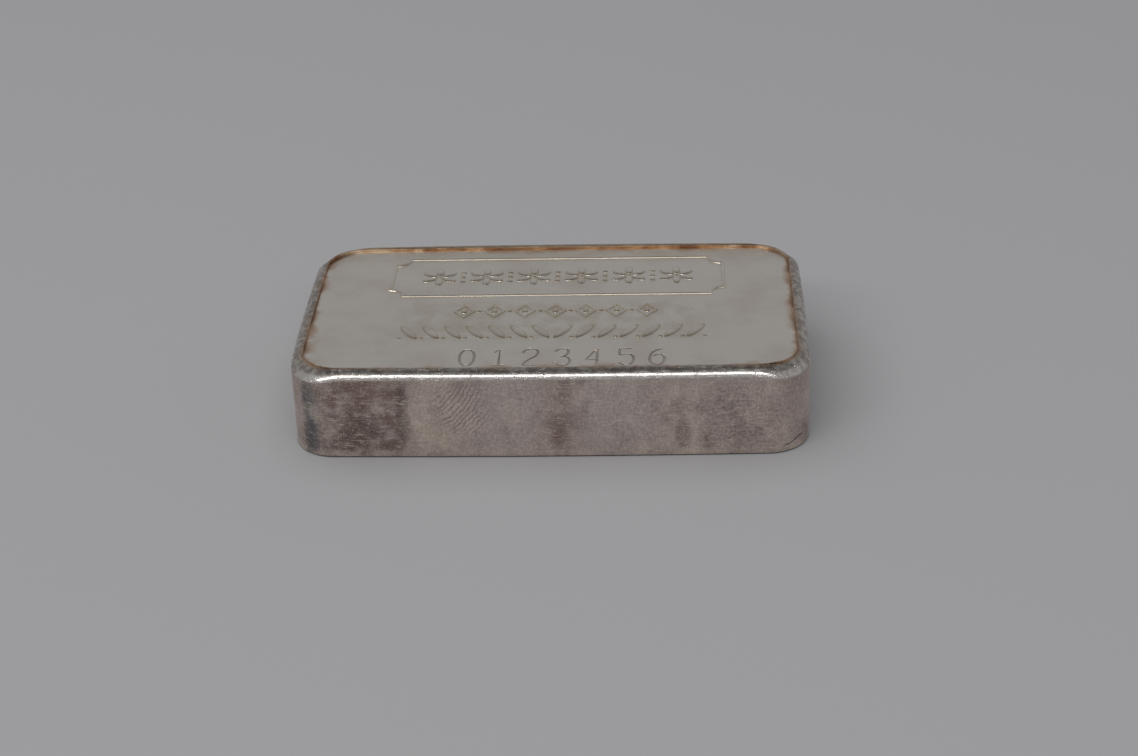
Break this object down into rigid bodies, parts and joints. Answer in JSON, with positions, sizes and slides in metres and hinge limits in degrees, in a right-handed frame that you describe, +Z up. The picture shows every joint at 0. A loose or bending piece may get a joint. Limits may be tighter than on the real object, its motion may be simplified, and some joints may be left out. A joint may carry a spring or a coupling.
{
  "type": "silver bar",
  "caption": "Struck silver bullion bar: a thick rectangular block with round corners, a sunk flat top field inside a raised rim, and a plain underside.",
  "frame": {"origin": "middle of the underside, on the surface that the bar lies on", "axes": "+X along the long side, +Y across the bar to its back wall, +Z up out of the struck face"},
  "size_m": [0.0662, 0.0384, 0.0122],
  "materials": {
    "silver": "satin fine silver, lightly tarnished: grey top, brown toning along the rim and on the walls, bright worn edges"
  },
  "bodies": {
    "root": {"silver_bar": "silver"}
  },
  "joints": []
}
